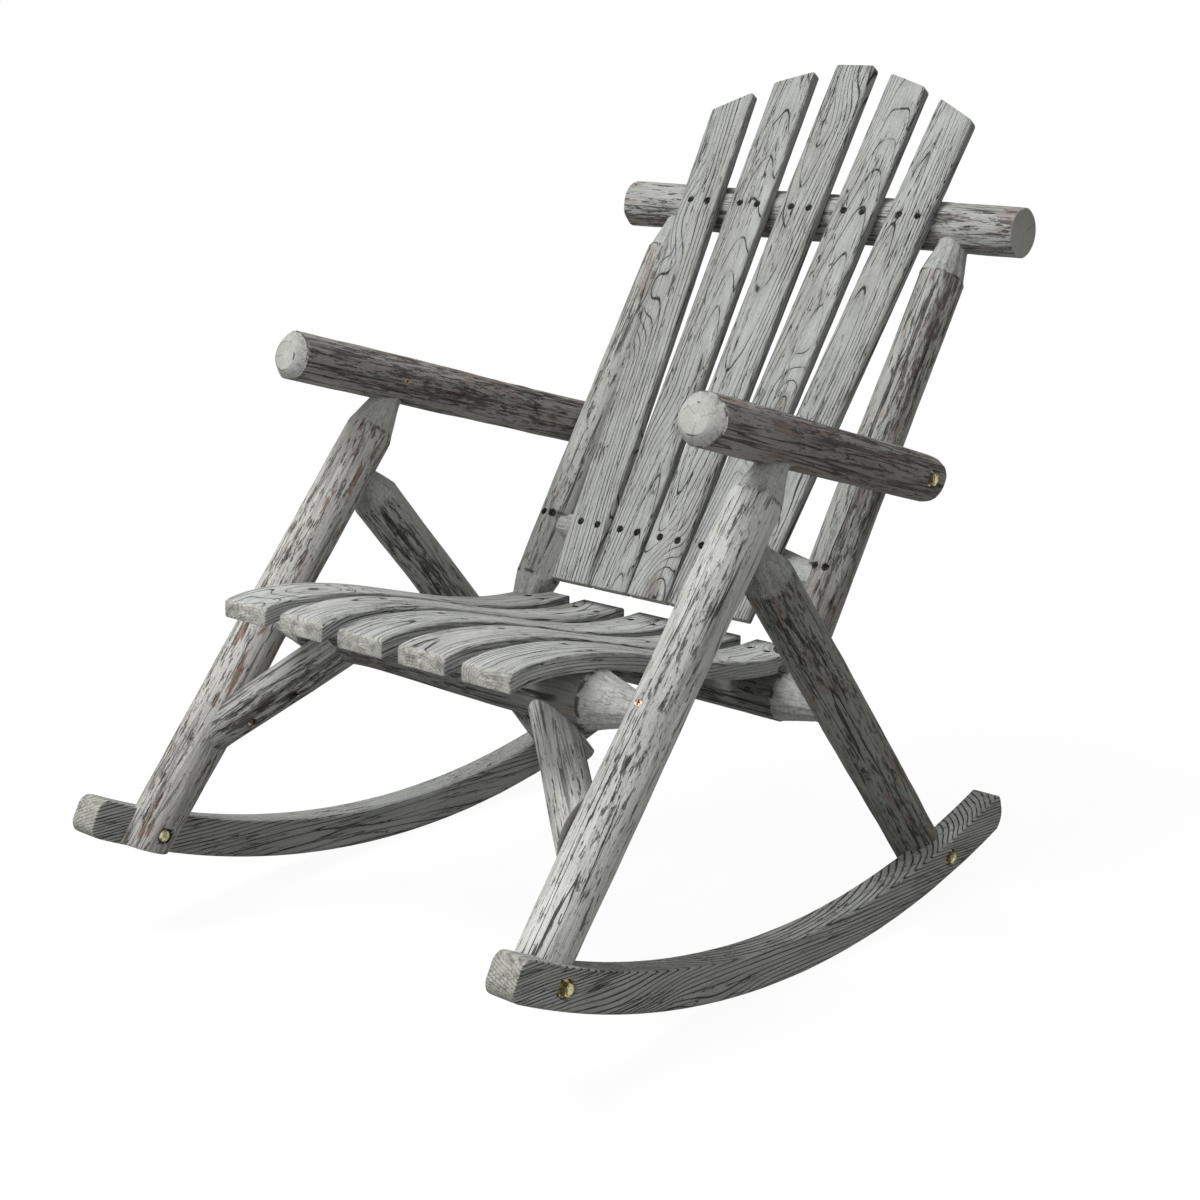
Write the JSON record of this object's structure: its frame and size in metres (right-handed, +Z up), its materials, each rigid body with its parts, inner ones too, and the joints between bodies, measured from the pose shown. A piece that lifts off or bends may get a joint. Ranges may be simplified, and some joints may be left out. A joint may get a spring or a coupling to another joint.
{
  "type": "log rocking chair",
  "caption": "Rocking chair of peeled round logs on two curved sawn rockers, with a waved slatted seat, a fanned slatted back and round log armrests.",
  "frame": {"origin": "on the floor under the middle of the chair's bounding box", "axes": "+X to the chair's right side as seen from its front, -Y to the front, +Z up"},
  "size_m": [0.6668, 1.0009, 0.9652],
  "materials": {
    "log_wood": "matt grey wash over peeled logs",
    "board_wood": "matt grey wash over sawn boards",
    "rocker_wood": "matt dark grey wash over sawn boards",
    "armrest_wood": "matt brown grey wash over peeled logs",
    "plated_steel": "yellow zinc plated",
    "dark_screws": "dark coated"
  },
  "bodies": {
    "root": {"rocker_left": "rocker_wood", "rocker_right": "rocker_wood", "front_leg_left": "log_wood", "front_leg_right": "log_wood", "rear_leg_left": "log_wood", "rear_leg_right": "log_wood", "front_seat_rail": "log_wood", "rear_seat_rail": "log_wood", "brace_left": "log_wood", "brace_right": "log_wood", "back_post_left": "log_wood", "back_post_right": "log_wood", "top_back_rail": "log_wood", "lower_back_rail": "log_wood", "armrest_left": "armrest_wood", "armrest_right": "armrest_wood", "back_slat_1": "board_wood", "back_slat_2": "board_wood", "back_slat_3": "board_wood", "back_slat_4": "board_wood", "back_slat_5": "board_wood", "seat_slat_1": "board_wood", "seat_slat_2": "board_wood", "seat_slat_3": "board_wood", "seat_slat_4": "board_wood", "seat_slat_5": "board_wood", "rocker_bolts": "plated_steel", "rocker_washers": "plated_steel", "rocker_nuts": "plated_steel", "armrest_bolts": "plated_steel", "armrest_washers": "plated_steel", "armrest_nuts": "plated_steel", "back_slat_upper_screws": "dark_screws", "back_slat_lower_screws": "dark_screws", "seat_slat_front_screws": "dark_screws", "seat_slat_rear_screws": "dark_screws", "brace_foot_screws": "plated_steel", "brace_head_screws": "plated_steel", "front_rail_screws": "plated_steel", "rear_rail_screws": "plated_steel", "armrest_screws": "plated_steel", "top_rail_screws": "plated_steel", "post_foot_screws": "plated_steel", "lower_rail_screws": "dark_screws"}
  },
  "joints": []
}
